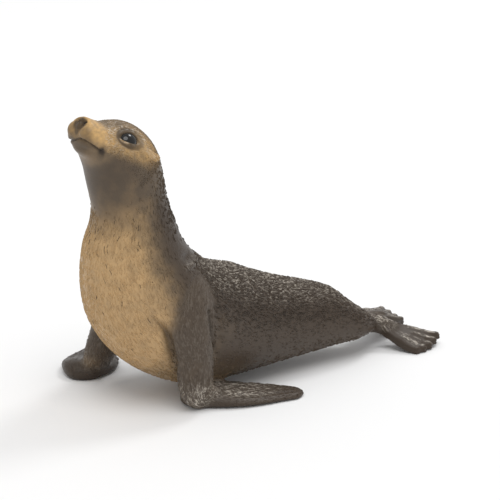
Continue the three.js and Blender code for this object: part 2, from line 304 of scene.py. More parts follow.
def limb(rings, member, above, ends, counts=(120, 96), inset=COAT_DEPTH):
    """Ellipses about a path: `above` is the way in which each ring's outer half-thickness is measured, and
    the section's other half-axis lies across both it and the path. The ends round off over two shares of
    its length."""
    t, angle = grid(*counts)
    rows = through(rings, t)
    middle = rows[..., :3]
    tangent = unit(through(rings, t + 0.01)[..., :3] - through(rings, t - 0.01)[..., :3])
    across = unit(np.cross(tangent, np.array(above, float)))
    outwards = np.cross(across, tangent)
    size = end_rounding(t, *ends)[..., None]
    cos, sin = np.cos(angle)[..., None], np.sin(angle)[..., None]
    thickness = np.where(sin > 0, rows[..., 4:5], rows[..., 5:6]) - inset
    points = middle + across * cos * (rows[..., 3:4] - inset) * size + outwards * sin * thickness * size
    return marked(points, member, t, angle, middle[:, 0], rows[..., 3])


def blade(sizes, side, member):
    """The foreflipper's blade: its rings are set out along the splay from the heel, on the floor."""
    turn = math.radians(sizes["splay"])
    rings = []
    for share, lead, half, thick in BLADE_RINGS:
        outwards = math.sin(turn) * share * sizes["length"] + math.cos(turn) * lead
        backwards = math.cos(turn) * share * sizes["length"] - math.sin(turn) * lead
        x = sizes["heel"][0] + side * outwards
        y = sizes["heel"][1] + backwards
        rings.append((x, y, 0.4 * thick, half, 0.6 * thick, 0.6 * thick))
    return limb(rings, member, (0, 0, 1), (0.12, 0.12), (160, 120), FLIPPER_DEPTH)


def digit_rings(sizes, digit):
    """A digit's rings from the hip over the ankle to its tip."""
    turn, length, tip = sizes["digits"][digit]
    hip, ankle = sizes["hip"], sizes["ankle"]
    rings = [(*hip, 2.8, 2.0, 2.4), (*ankle, 2.3, 2.0, 2.3)]
    for share, fall, half, thick in DIGIT_RINGS:
        x = ankle[0] + math.sin(math.radians(turn)) * length * share
        y = ankle[1] + math.cos(math.radians(turn)) * length * share
        rings.append((x, y, ankle[2] + (tip - ankle[2]) * fall, half, thick, thick))
    return rings


def fan(sizes, members):
    """A hind flipper: five digits, run together from the hip to near their tips."""
    return [
        limb(digit_rings(sizes, digit), member, (0, 0, 1), (0.08, 0.06), (90, 48), FLIPPER_DEPTH)
        for digit, member in enumerate(members)
    ]


def all_lofts():
    """Every member that the skin closes over, in the order of their marks."""
    lofts = [
        body_loft(),
        limb(LEFT_ARM, LEFT_LIMB, (1, 0, 0), (0.14, 0.1)),
        limb(RIGHT_ARM, RIGHT_LIMB, (-1, 0, 0), (0.14, 0.1)),
        blade(LEFT_BLADE, 1, LEFT_FLIPPER),
        blade(RIGHT_BLADE, -1, RIGHT_FLIPPER),
        limb(TAIL_RINGS, TAIL, (0, 0, 1), (0.15, 0.3), (60, 48)),
    ]
    for side, ear in ((1, LEFT_EAR), (-1, RIGHT_EAR)):
        rings = np.array(EAR_RINGS) * (side, 1, 1, 1, 1, 1)
        lofts.append(limb(rings, ear, (side, 0, 0), (0.2, 0.25), (50, 40), 0))
    return lofts + fan(LEFT_HIND, LEFT_FAN) + fan(RIGHT_HIND, RIGHT_FAN)


# -------- mesh tools
def loft_faces(along, around, start):
    """Quads between neighbouring rows and columns of a grid that closes on itself around."""
    row, column = np.meshgrid(np.arange(along - 1), np.arange(around), indexing="ij")
    after = (column + 1) % around
    near, far = row * around, (row + 1) * around
    return np.stack([near + column, near + after, far + after, far + column], -1).reshape(-1, 4) + start


def closed_loft(points):
    """A loft whose first and last rows are poles, as points and triangles that face outwards: each pole
    becomes one point, and a negative volume turns all triangles over."""
    along, around = points.shape[:2]
    quads = loft_faces(along - 2, around, 0)
    count = (along - 2) * around
    first = np.arange(around)
    last = first + count - around
    triangles = np.vstack([
        quads[:, :3],
        quads[:, [0, 2, 3]],
        np.stack([np.roll(first, -1), first, 0 * first + count], -1),
        np.stack([last, np.roll(last, -1), 0 * last + count + 1], -1),
    ])
    flat = np.vstack([points[1:-1].reshape(-1, 3), points[0].mean(0), points[-1].mean(0)])
    a, b, c = (flat[triangles[:, k]] - flat.mean(0) for k in range(3))
    inside_out = np.sum(a * np.cross(b, c)) < 0
    return flat, triangles[:, ::-1] if inside_out else triangles


def mesh_of(name, points, faces):
    """A mesh from whole arrays of points and of faces with equal numbers of corners."""
    mesh = bpy.data.meshes.new(name)
    mesh.vertices.add(len(points))
    mesh.loops.add(faces.size)
    mesh.polygons.add(len(faces))
    mesh.vertices.foreach_set("co", np.asarray(points, np.float32).ravel())
    mesh.loops.foreach_set("vertex_index", faces.ravel().astype(np.int32))
    mesh.polygons.foreach_set("loop_start", np.arange(0, faces.size, faces.shape[1], dtype=np.int32))
    mesh.update(calc_edges=True)
    return mesh


def smooth(mesh):
    """Shades the faces as one rounded surface."""
    mesh.polygons.foreach_set("use_smooth", np.ones(len(mesh.polygons), bool))


def read(items, key, width, kind=np.float32):
    """What each item of a mesh holds under the key, as rows of that many numbers."""
    values = np.zeros(len(items) * width, kind)
    items.foreach_get(key, values)
    return values.reshape(-1, width)


def write(mesh, name, values):
    """Gives each vertex a mark of three numbers."""
    data = mesh.attributes.new(name, "FLOAT_VECTOR", "POINT").data
    data.foreach_set("vector", values.astype(np.float32).ravel())


def neighbour_mean(values, pairs):
    """For each vertex the mean of the values at the other ends of its edges."""
    size = len(values)
    count = np.bincount(pairs.ravel(), minlength=size)
    a, b = pairs.T
    columns = [np.bincount(a, column[b], size) + np.bincount(b, column[a], size) for column in values.T]
    return np.stack(columns, -1) / np.maximum(count, 1)[:, None]


def melted(values, pairs, rounds, weight=1.0):
    """Each round draws the values half way to their neighbours' mean, or less by the weight."""
    for _ in range(rounds):
        values = values + 0.5 * weight * (neighbour_mean(values, pairs) - values)
    return values


def relaxed(points, pairs, rounds):
    """Each round draws the points half way to their neighbours' mean, and then pushes them out again a
    little further, which evens the surface without shrinking it."""
    for _ in range(rounds):
        points = points + 0.5 * (neighbour_mean(points, pairs) - points)
        points = points - 0.52 * (neighbour_mean(points, pairs) - points)
    return points


def normals_of(points, faces):
    """Each vertex's normal: the sum of its faces' normals, each the cross product of the two diagonals."""
    diagonals = points[faces[:, 2:]] - points[faces[:, :2]]
    across = np.cross(diagonals[:, 0], diagonals[:, 1])
    total = np.zeros_like(points)
    for corner in faces.T:
        for axis in range(3):
            total[:, axis] += np.bincount(corner, across[:, axis], len(points))
    return unit(total)


# -------- the skin
FACE = np.array([0.0, -35.0, 63.2])
FACE_REACH = 9.5
FACE_STRETCH = 2.5
SKIN_CELL = 0.5
MARKS = ("member", "place", "lie", "combed")


def drawn_out(points):
    """The space round the face is drawn out from the face's middle, so that one cell size gives the face
    quads that much smaller: FACE_STRETCH times up to FACE_REACH, and that much further off beyond it."""
    away = points - FACE
    r = size_of(away)[..., None]
    far = np.where(r < FACE_REACH, FACE_STRETCH * r, r + (FACE_STRETCH - 1) * FACE_REACH)
    return FACE + away * far / np.maximum(r, 1e-9)


def drawn_in(points):
    """The way back from drawn_out."""
    away = points - FACE
    far = size_of(away)[..., None]
    r = np.where(far < FACE_STRETCH * FACE_REACH, far / FACE_STRETCH, far - (FACE_STRETCH - 1) * FACE_REACH)
    return FACE + away * r / np.maximum(far, 1e-9)


def remeshed(lofts):
    """One closed surface round all the lofts, in even quads, which keep the lofts' marks."""
    points, faces, start = [], [], 0
    for loft in lofts:
        along, around = loft["points"].shape[:2]
        points.append(drawn_out(loft["points"].reshape(-1, 3)))
        faces.append(loft_faces(along, around, start))
        start += along * around
    mesh = mesh_of("skin", np.concatenate(points), np.concatenate(faces))
    for name in MARKS:
        write(mesh, name, np.concatenate([loft[name].reshape(-1, 3) for loft in lofts]))
    skin = add_object("skin", mesh)
    bpy.context.view_layer.objects.active = skin
    mesh.remesh_voxel_size = SKIN_CELL
    mesh.use_remesh_preserve_attributes = True
    bpy.ops.object.voxel_remesh()
    return skin


def skin_arrays(mesh):
    """The remeshed skin's points, quads, edges and marks as arrays, in millimetres."""
    faces = read(mesh.loops, "vertex_index", 1, np.int32).reshape(-1, 4)
    pairs = read(mesh.edges, "vertices", 2, np.int32)
    points = drawn_in(read(mesh.vertices, "co", 3).astype(float))
    points = relaxed(melted(points, pairs, 2), pairs, 12)
    found = {name: read(mesh.attributes[name].data, "vector", 3).astype(float) for name in MARKS}
    found["member"] = found["member"][:, 0]
    for name in MARKS[1:]:
        found[name] = melted(found[name], pairs, 4)
    return points, faces, pairs, found


# -------- the face
# The left eye's opening: its front and back corner, and the middles of its upper and lower lid.
EYE_CORNERS = np.array([(5.61, -32.97, 63.95), (6.52, -29.28, 62.46)])
EYE_LIDS = np.array([(4.98, -30.41, 64.51), (6.88, -31.14, 62.21)])
EYE_PROUD = 0.45  # how far the ball's outermost point stands out of the opening
OPENING = (2.05, 1.25, 1.15)  # half the opening's length, and how far its upper and lower edge arch
OPENING_EDGE = 0.18  # the lids turn inwards over this much on each side of the opening's edge
LID_THICKNESS = 0.3
LID_DIP = 0.5  # how far behind the ball's surface the skin lies inside the opening
# Ellipsoids: the middle and the half-axes.
WHISKER_PAD = ((2.1, -38.9, 64.9), (2.3, 2.2, 2.2))
CHIN = ((0.0, -38.8, 61.3), (3.2, 2.2, 2.1))
NOSE_PAD = ((0, -40.3, 67.2), (2.5, 2.0, 1.8))


def at_both_sides(v):
    """A point, or rows of points, of the left side, and the same on the right."""
    return [np.asarray(v, float) * (side, 1, 1) for side in (1, -1)]


def eye_axes(side=1):
    """The eye's outward axis, the way back along its opening, the way up across it, the opening's middle and
    the ball's."""
    back = unit(EYE_CORNERS[1] - EYE_CORNERS[0])
    out = unit(np.cross(back, EYE_LIDS[0] - EYE_LIDS[1]))
    up = np.cross(out, back)
    opening = (EYE_CORNERS.mean(0) + EYE_LIDS.mean(0)) / 2
    axes = (out, back, up, opening, opening + (EYE_PROUD - EYE_RADIUS) * out)
    return [v * (side, 1, 1) for v in axes]


def round_eye(across, up, start, end):
    """An arc round the left eye: an ellipse with those half-axes, from one angle to another in degrees, where
    0 is behind the eye and 90 above it."""
    _, back, above, opening, _ = eye_axes()
    angle = np.radians(np.linspace(start, end, 12))[:, None]
    return opening + across * np.cos(angle) * back + up * np.sin(angle) * above


def bulged(points, centre, radii):
    """Points inside an ellipsoid are moved straight out of it, from its middle."""
    r = in_ellipsoid(points, centre, radii)[:, None]
    return np.where(r < 1, centre + (points - centre) / np.maximum(r, 0.2), points)


def socketed(points, side):
    """The skin follows the eyeball as lids a little outside it, and dips behind its surface inside an
    almond-shaped opening. The lids run out into the head within a few millimetres."""
    out, back, up, _, ball = eye_axes(side)
    away = points - ball
    r = size_of(away)
    aside = unit(away)
    u, v, w = aside @ back * EYE_RADIUS, aside @ up * EYE_RADIUS, aside @ out
    half, above, below = OPENING
    arch = np.where(v > 0, above, below) * np.sqrt(np.maximum(0, 1 - (u / half) ** 2))
    inside = ramp(arch - np.abs(v), -OPENING_EDGE, OPENING_EDGE) * (np.abs(u) < half)
    lid = EYE_RADIUS + LID_THICKNESS - inside * (LID_THICKNESS + LID_DIP)
    near = ramp(w, 0.35, 0.75) * (r < EYE_RADIUS + 2)
    return ball + aside * (r + near * (lid - r))[:, None]


# -------- the skin's relief
# Grooves and ridges of the left side: a line, its half-width, its depth (less than 0 for a ridge), and the
# share of deep brown in it, or less than 0 for the share of light dry-brushing on it. The deep brown is
# brushed paint at the mouth, the nose and the lids, and painted shade in the line under the nose, the creases
# by the arm and the hollow over the shoulder. The right side has the same, where its own skin is. The mouth
# is one line from the right corner to the left, a little uneven as hand work is.
MOUTH = [
    (-5.6, -37.1, 61.0), (-4.8, -38.4, 61.4), (-4.4, -39.0, 61.9), (-3.7, -40.0, 62.6), (-2.5, -40.6, 62.9),
    (-1.3, -40.8, 63.1), (0, -40.85, 63.6), (1.35, -40.8, 64.0), (2.5, -40.6, 63.9), (3.75, -40.0, 63.4),
    (4.4, -39.0, 62.3), (4.8, -38.4, 61.7), (5.2, -37.8, 61.4), (5.5, -37.3, 61.2),
]
MOUTH_SIZES = (0.28, 0.5, 0.9)
WRINKLES = [  # behind the arm, with painted shade in them
    [(15.0, -14.6, 24.5), (15.4, -13.2, 22.9)],
    [(15.2, -14.6, 22.0), (15.5, -12.6, 20.6)],
    [(15.3, -14.4, 19.4), (15.6, -12.2, 18.4)],
    [(15.2, -14.2, 16.6), (15.2, -12.4, 15.8)],
]
FOLDS = [
    # the dimple at the mouth's corner, the nostril, and the line from it down to the lips, whose deep brown
    # is painted shade
    ([(4.5, -38.9, 62.0), (5.1, -37.9, 61.4), (5.8, -36.8, 61.0)], 1.1, 0.2, 1.3),
    ([(0.6, -40.2, 66.9), (1.1, -39.7, 67.6), (1.7, -38.9, 67.9)], 0.55, 0.9, 1.3),
    ([(1.9, -39.2, 67.4), (1.4, -40.0, 66.5), (0.5, -40.6, 65.7), (0.1, -40.9, 64.6), (0.1, -40.9, 63.4)],
     0.8, 0.2, 0.85),
    # the brow, the upper lid and the lower lid
    (round_eye(4.0, 3.3, -25, 165), 0.7, -0.35, -0.6),
    (round_eye(2.45, 1.75, 15, 185), 0.28, -0.2, 0.55),
    (round_eye(2.35, 1.6, 190, 345), 0.25, -0.12, -0.3),
    # the creases in front of the arm and behind it, with painted shade in them
    ([(11.7, -30.7, 23.7), (12.2, -29.8, 23.4), (12.7, -28.3, 21.8), (12.8, -27.0, 19.7), (12.5, -25.9, 17.0),
      (11.9, -24.7, 14.2), (11.0, -23.5, 11.3), (8.7, -21.4, 7.8)], 0.7, 1.0, 0.6),
    ([(15.9, -16.0, 25.5), (16.0, -16.2, 22.8), (16.1, -16.0, 19.4), (15.3, -15.3, 15.4),
      (13.2, -13.5, 10.8)], 0.65, 1.1, 1.0),
    *[(line, 0.4, 0.35, 0.8) for line in WRINKLES],
    # the ridge over the shoulder, dry-brushed, and the hollow above it, with painted shade in it
    ([(11.8, -21.8, 33.8), (11.2, -19.4, 33.4), (10.4, -17.6, 33.6), (8.1, -15, 33.9), (6.9, -14.3, 34.1)],
     0.6, -0.6, -0.7),
    ([(11.6, -22.2, 35.9), (10.9, -19.4, 35.7), (9.8, -17.4, 35.7), (7.6, -15.6, 36.0)], 1.0, 0.5, 0.5),
]


def near_line(points, line):
    """The distance from each point to a line through corners, and how far along the line its nearest place
    is, from 0 to 1."""
    best = np.full(len(points), np.inf)
    along = np.zeros(len(points))
    for i, (start, end) in enumerate(zip(line[:-1], line[1:])):
        way = end - start
        share = np.clip((points - start) @ way / (way @ way), 0, 1)
        distance = size_of(points - start - share[:, None] * way)
        closer = distance < best
        best = np.where(closer, distance, best)
        along = np.where(closer, (i + share) / (len(line) - 1), along)
    return best, along


def on_skin(points, line):
    """A smooth line through the given places, drawn along the skin: each of its points goes to the nearest
    of the skin's, and the line is evened a little afterwards."""
    line = through(line, np.linspace(0, 1, 28))
    line = np.array([points[np.argmin(np.sum((points - place) ** 2, axis=1))] for place in line])
    line[1:-1] = 0.5 * line[1:-1] + 0.25 * (line[:-2] + line[2:])
    return line[np.append(True, size_of(np.diff(line, axis=0)) > 1e-6)]


def folded(points, normals):
    """Presses the folds into the skin, each running out at its ends, and gives the deep brown that lies in
    them, which is painted shade in the creases, and the dry-brushing on them."""
    wash, rubbed, moved = np.zeros((3, len(points)))
    lines = [(sided, *sizes) for line, *sizes in FOLDS for sided in at_both_sides(line)]
    for line, width, depth, share in [*lines, (np.array(MOUTH), *MOUTH_SIZES)]:
        distance, along = near_line(points, on_skin(points, line))
        end = min(0.5, width / 2)
        shape = np.exp(-((distance / width) ** 2)) * ramp(along, 0, end) * ramp(1 - along, 0, end)
        moved = np.where(np.abs(depth * shape) > np.abs(moved), depth * shape, moved)
        wash = np.maximum(wash, share * shape)
        rubbed = np.maximum(rubbed, -share * shape)
    return points - normals * moved[:, None], wash, rubbed


# Places where the moulding runs smoothly from one member to the next: the middle, the reach, the rounds, and
# whether the hollows are only filled, which keeps what stands out there.
SOFT_PLACES = [
    ((10.2, -18.6, 28.5), 10.0, 90, False),  # the arms' roots
    ((-10.6, -19.2, 28.5), 10.0, 90, False),
    ((12.0, -12.5, 4.5), 10.0, 260, True),  # between the arms and their blades
    ((-21.5, -22.0, 5.0), 8.0, 150, True),
    ((7.8, 40.0, 6.0), 6.0, 60, True),  # the hind flippers' roots
    ((4.6, 40.5, 6.5), 6.0, 60, True),
    ((0.0, -37.6, 59.0), 5.6, 140, False),  # the throat under the chin
    ((7.0, -27.8, 60.9), 3.6, 220, False),  # the ears' roots
    ((-7.0, -27.8, 60.9), 3.6, 220, False),
]
FINGER_ENDS = (0.52, 0.64, 0.75, 0.85)  # shares of a foreflipper's length
FINGERS = 2.4  # how many ridges lie across half a foreflipper's width


def softened(points, faces, pairs):
    """Evens the skin in the soft places: each point there moves towards its neighbours' mean, fully within
    half the reach and less and less beyond it, and only outwards where hollows are filled."""
    for centre, reach, rounds, only_filled in SOFT_PLACES:
        weight = ramp(size_of(points - centre), reach, 0.5 * reach)
        here = pairs[(weight[pairs] > 0).any(axis=1)]
        moved = melted(points, here, rounds, weight[:, None]) - points
        if only_filled:
            normals = normals_of(points, faces)
            moved = normals * np.maximum(np.sum(moved * normals, axis=1, keepdims=True), 0)
        points = points + moved
    return points


def webbed(points, normals, found):
    """The foreflippers' rims are scalloped where each long finger ends, and their tops and the hind
    flippers' show the fingers as low ridges."""
    _, _, left, right, fans = members_of(found)
    t, cos, sin = found["place"].T
    scallops = sum(np.exp(-(((t - end) / 0.022) ** 2)) for end in FINGER_ENDS)
    scallops = scallops * ramp(np.where(left, -cos, cos), 0.75, 0.97)
    fingers = np.cos(2 * np.pi * FINGERS * (cos + 0.3 * (t - 0.4))) * ramp(sin, 0.2, 0.7)
    fingers = fingers * band(t, 0.3, 0.45, 0.8, 0.95)
    digit_crests = ramp(sin, 0.55, 0.9) * band(t, 0.4, 0.55, 0.9, 1.0)
    digit_sides = ramp(np.abs(sin), 0.5, 0.1)
    heights = [0.13 * fingers - 0.4 * scallops, 0.3 * digit_crests - 0.25 * digit_sides]
    raised = np.select([left | right, fans], heights, 0)
    return points + normals * raised[:, None]


def make_skin():
    """The remeshed lofts with all their relief, as a piece and as arrays for the paint and the fur."""
    skin = remeshed(all_lofts())
    points, faces, pairs, found = skin_arrays(skin.data)
    for centre in at_both_sides(WHISKER_PAD[0]):
        points = bulged(points, centre, WHISKER_PAD[1])
    points = bulged(points, *CHIN)
    points = softened(points, faces, pairs)
    points = relaxed(points, pairs, 4)
    points = webbed(points, normals_of(points, faces), found)
    points, found["wash"], found["rubbed"] = folded(points, normals_of(points, faces))
    for side in (1, -1):
        points = socketed(points, side)
    points[:, 2] = np.maximum(points[:, 2], 0)
    skin.data.vertices.foreach_set("co", in_frame(points).astype(np.float32).ravel())
    skin.data.update()
    smooth(skin.data)
    # The paint's edges are soft away from the face, and the crests' dry-brushing stays sharp on the digits.
    spread = ramp(size_of(points - FACE), 11, 16)[:, None]
    found["paint"] = melted(sprays_and_shade(points, found), pairs, 40, spread)
    digits = members_of(found)[-1] & (found["place"][:, 0] > 0.35)
    found["accents"] = melted(accents(points, found), pairs, 12, spread * ~digits[:, None])
    return skin, points, faces, found


# -------- the paint's markings
def body_places(found):
    """Which vertices lie on the body, the number of the ring each lies at, from 0 at the nose through 8 at
    the poll and 14 at the chest to 23 at the tail root, and how high round it: -1 is the underside and 1 the
    back."""
    across, up = found["place"][:, 1], found["place"][:, 2]
    ring = found["place"][:, 0] * (RING_COUNT - 1)
    return np.rint(found["member"]) == BODY, ring, up / np.maximum(np.hypot(across, up), 1e-6)


def members_of(found):
    """Which vertices lie on the arms, the ears, the left foreflipper, the right one and the digits of the
    hind flippers."""
    groups = ((LEFT_LIMB, RIGHT_LIMB), (LEFT_EAR, RIGHT_EAR), LEFT_FLIPPER, RIGHT_FLIPPER, FANS)
    return [np.isin(np.rint(found["member"]), group) for group in groups]


def sprays_and_shade(points, found):
    """Shares of the airbrushed paints over the grey-brown base: tan, dark brown and gold. Under the head the
    dark brown is deepened, and on the muzzle the gold is thinned towards the mouth, as painted shade.
    """
    body, ring, high = body_places(found)
    arms, ears, *_ = members_of(found)
    y, z = points[:, 1], points[:, 2]
    crown = band(ring, 2.6, 3.6, 5.5, 8.0)
    tan = most(
        band(ring, 6.3, 11.5, 15.0, 17.2) * ramp(high, 0.3, -0.75),  # the chest
        0.7 * ramp(ring, 15, 17) * ramp(high, -0.7, -0.97),  # the belly
        0.3 * crown * ramp(high, 0.2, 0.6),
        0.25 * ramp(ring, 4.5, 2.5),  # the muzzle
    )
    over_lips = z - 63.6 + 0.64 * (y + 40.85)  # the height over the mouth, which falls as it runs back
    above_mouth = ramp(over_lips, -0.2, 0.5)
    # the muzzle's gold thins towards the mouth: painted shade on the lower muzzle
    muzzle = ramp(y, -34.5, -37.5) * (0.3 + 0.7 * ramp(over_lips, 0.3, 2.6))
    cheek = ramp(y, -37.5, -35) * ramp(ring, 8.4, 6.8) * ramp(z - 61.1 + 0.45 * (y + 37), -1.2, 2.2)
    gold = 0.9 * muzzle * above_mouth + 0.58 * cheek * ramp(high, 0.95, 0.72)
    dark = most(
        ramp(ring, 6.5, 10.5) * ramp(high, -0.35, 0.4),  # the back
        0.95 * ramp(ring, 14.5, 17.0) * ramp(high, -0.9, -0.3),  # the flanks
        0.9 * ramp(ring, 17.0, 18.5),  # the hindquarters, all round
        0.4 * (1 - above_mouth) * ramp(ring, 4.5, 3) * (y < -36),  # the lower jaw, darker below the mouth: partly painted shade under the head
        0.75 * band(ring, 2.2, 4.6, 6.0, 10.5) * ramp(high, 0.3, -0.2),  # the throat, partly painted shade under the head
        0.65 * band(ring, 5.8, 8.0, 8.0, 11.0),  # a collar behind the head
        0.35 * crown * ramp(high, 0.6, 0.9),
    )
    heel = ramp(z, 9, 4) * ramp(-found["place"][:, 1], 0.3, 0.9)
    tan = np.select([body, ears, arms], [tan, 0.5, 0.45 * heel], 0)
    dark = np.select([body, ears, arms], [dark, 0.3, 0.9 - 0.5 * heel], 1)
    gold = np.select([body, ears], [gold, 0.6], 0)
    return np.clip(np.stack([tan, dark, gold], -1), 0, 1)


def on_ellipse(u, v, across, up, width):
    """1 on the ellipse with those half-axes, fading out to both sides of it within that share of its size."""
    return np.exp(-(((np.hypot(u / across, v / up) - 1) / width) ** 2))


def accents(points, found):
    """Shares of the finer paints: deep brown on the nose, in the folds and round the eyes, which is painted
    shade in the creases, on the muzzle's front and on the right foreflipper, the light dry-brushing, and the
    brown that stays between the strokes of the fur, which is painted shade of its hollows."""
    body, ring, high = body_places(found)
    arms, ears, left, right, fans = members_of(found)
    member = np.rint(found["member"])
    t, cos, sin = found["place"].T
    deep_and_shade = most(
        found["wash"],
        0.9 * body * ramp(in_ellipsoid(points, *NOSE_PAD), 1.1, 0.7),
        0.45 * body * ramp(-points[:, 1], 38.9, 40.6) * ramp(ring, 4, 3),  # the muzzle's front, darker: painted shade
        0.3 * body * band(ring, 7.5, 9.5, 13, 14) * ramp(high, 0.1, 0.7),  # the nape
    )
    flecked = ramp(ring, 12.8, 13.8) * ramp(high - 0.03 * (ring - 14), 0.35, 1.0)  # the top of the back
    brush = body * most(flecked, 0.55 * band(ring, 2.2, 3.0, 4.6, 6.6) * ramp(high, -0.3, 0.5))
    for side in (1, -1):
        out, back, up, opening, ball = eye_axes(side)
        u, v = (points - opening) @ back, (points - opening) @ up
        near = (points - ball) @ out > 0
        patch = ramp(np.hypot((u - 0.15) / 3.7, (v - 0.2) / 2.8), 1.08, 0.84)
        rim = on_ellipse(u, v, 2.15, 1.35, 0.16) * ramp(v, -0.7, 0.2)
        pale = on_ellipse(u, v, 2.3, 1.5, 0.14) * ramp(-v, 0.2, 0.8) * ramp(-u, 0.2, 0.9)
        brow = on_ellipse(u, v, 4.1, 3.4, 0.16) * ramp(v, -0.4, 0.9)
        shade = most((0.85 - 0.25 * ramp(u, 0, 2.5)) * patch, 0.98 * rim)
        deep_and_shade = most(deep_and_shade, near * shade) * (1 - near * pale)
        brush = np.where(near, most(brush * (1 - patch), 0.5 * pale, 0.85 * brow), brush)
    top = ramp(sin, -0.1, 0.4)
    blade = ramp(t, 0.85, 0.35) * ramp(np.where(left, cos, -cos), 0.85, 0.55) * top + 0.05 * top
    crest = np.where(member == LEFT_FAN[0], 0.1, 0.9) * ramp(sin, 0.82, 0.92) * ramp(t, 0.4, 0.5)
    digit = most(crest, 0.9 * ramp(t, 0.4, 0.28)) * top
    arm = 0.08 + np.where(member == LEFT_LIMB, 0.8, 0.1) * ramp(points[:, 2], 9.0, 4.5)
    # the right foreflipper gets a twentieth of the left one's dry-brushing: painted shade
    brush = np.select([left, right, fans, arms, ears], [blade, 0.05 * blade, digit, arm, 0.35], brush)
    brush = most(brush, found["rubbed"])
    # the right foreflipper is painted darker than the left as painted shade; the hind flippers are darker too
    deep_and_shade = most(deep_and_shade, 0.55 * right, 0.4 * fans)
    chest = band(ring, 9, 11, 15, 17) * ramp(high, 0.4, 0.0)
    furred = ramp(ring, 8.5, 10.5) * (1 - 0.6 * chest) * (1 - 0.4 * ramp(ring, 13, 14))
    furred = np.select([body, arms, left], [furred, 0.6, 0.5], 0.2)
    return np.clip(np.stack([deep_and_shade, brush, furred], -1), 0, 1)


# -------- the sculpted fur
STROKE_CELL = 0.62  # the spacing of the strokes' roots, in the drawn-out space
random = np.random.default_rng(7)


def scattered(points, faces, normals, found):
    """Roots for strokes: a random place on each quad of the skin, thinned to one in each cell of the space
    drawn out round the face."""
    u, v = random.random((2, len(faces), 1))
    weights = [(1 - u) * (1 - v), u * (1 - v), u * v, (1 - u) * v]

    def at(values):
        return sum(weight * values[faces[:, i]] for i, weight in enumerate(weights))

    roots = at(points)
    order = random.permutation(len(roots))
    cells = np.floor(drawn_out(roots[order]) / STROKE_CELL).astype(np.int64)
    key = (cells[:, 0] * 4096 + cells[:, 1]) * 4096 + cells[:, 2]
    kept = order[np.unique(key, return_index=True)[1]]
    taken = {name: at(found[name])[kept] for name in ("place", "lie", "combed", "paint", "accents")}
    taken["member"] = found["member"][faces[kept, 0]]
    return roots[kept], unit(at(normals)[kept]), taken


def fur_sizes(points, taken):
    """For each root whether a stroke stands there, its length, its width and its height, in millimetres."""
    body, ring, high = body_places(taken)
    arms, ears, left, right, fans = members_of(taken)
    t, _, sin = taken["place"].T
    z = points[:, 2]
    head = ramp(ring, 9, 6.5)
    back = ramp(ring, 12.6, 13.8) * ramp(high, -0.1, 0.5)
    chest = band(ring, 8, 10.5, 15, 17) * ramp(high, 0.5, 0.1)
    length = 0.85 + 0.3 * back + 0.6 * chest - 0.4 * head
    width = 0.22 + 0.07 * back - 0.07 * head
    height = 0.15 + 0.12 * back - 0.05 * chest - 0.09 * head
    on_head = ramp(ring, 2.2, 3.2) * ramp(high, -0.4, 0.1) * ramp(taken["accents"][:, 0], 0.4, 0.15)
    on_trunk = 0.25 + most(0.65 * back, 0.3 * chest)
    on_trunk = on_trunk * (ramp(ring, 7.4, 10.5) + ramp(high, 0.2, 0.6)).clip(0, 1)
    withers = band(ring, 10.8, 11.6, 12.7, 13.3) * ramp(high, 0.0, 0.3)
    on_body = np.where(ring < 8, on_head, on_trunk) * (1 - 0.85 * withers)
    on_arms = 0.15 + 0.75 * ramp(z, 11, 6)
    on_fans = 0.8 * (t < 0.4) + 0.6 * (sin > 0.86) * (np.rint(taken["member"]) != LEFT_FAN[0])
    members = [body, arms, ears, left, right, fans]
    share = np.select(members, [on_body, on_arms, 0.7, 0.9 * (sin > -0.2), 0.25 * (sin > 0), on_fans], 0)
    stands = random.random(len(points)) < share * (z > 0.5)
    sizes = ((length, 0.75), (width, 0.22), (height, 0.07))  # on the body, and elsewhere
    vary = 1 + 0.3 * random.standard_normal((3, len(points))).clip(-1.5, 1.5)
    return stands, *(np.where(body, *size) * change for size, change in zip(sizes, vary))


# A stroke's points as shares of its length, width and height: its root, four points round each of two
# sections (left edge, crest, right edge and keel), and its tip. The edges and the keel lie in the skin.
STROKE_POINTS = np.array([
    (-0.5, 0, -0.4),
    (-0.22, -0.5, -0.5), (-0.22, 0, 1), (-0.22, 0.5, -0.5), (-0.22, 0, -0.9),
    (0.2, -0.42, -0.5), (0.2, 0, 0.95), (0.2, 0.42, -0.5), (0.2, 0, -0.9),
    (0.5, 0, -0.2),
])
STROKE_CREST = np.array([0.1, 0, 1, 0, 0, 0, 1, 0, 0, 0.2])
STROKE_FACES = np.array([
    (0, 2, 1), (0, 3, 2), (0, 4, 3), (0, 1, 4),
    (1, 2, 6), (1, 6, 5), (2, 3, 7), (2, 7, 6), (3, 4, 8), (3, 8, 7), (4, 1, 5), (4, 5, 8),
    (9, 5, 6), (9, 6, 7), (9, 7, 8), (9, 8, 5),
])
PATCH = 0.003  # a stroke's patch on the skin's unwrap


def unwrap(taken):
    """Each root's place on an unwrap of the skin: the body fills the left half, and every other loft has its
    own tile on the right, with the angle across it and the length up it."""
    member = np.rint(taken["member"]).astype(int)
    length = taken["place"][:, 0]
    angle = np.arctan2(taken["place"][:, 2], taken["place"][:, 1]) / (2 * np.pi) + 0.5
    column, row = np.divmod(np.maximum(member - 1, 0), 6)
    across = np.where(member == BODY, 0.01 + 0.48 * angle, 0.5 + (column + 0.05 + 0.9 * angle) / 6)
    up = np.where(member == BODY, 0.01 + 0.98 * length, (row + 0.05 + 0.9 * length) / 6)
    return np.stack([across, up], -1)


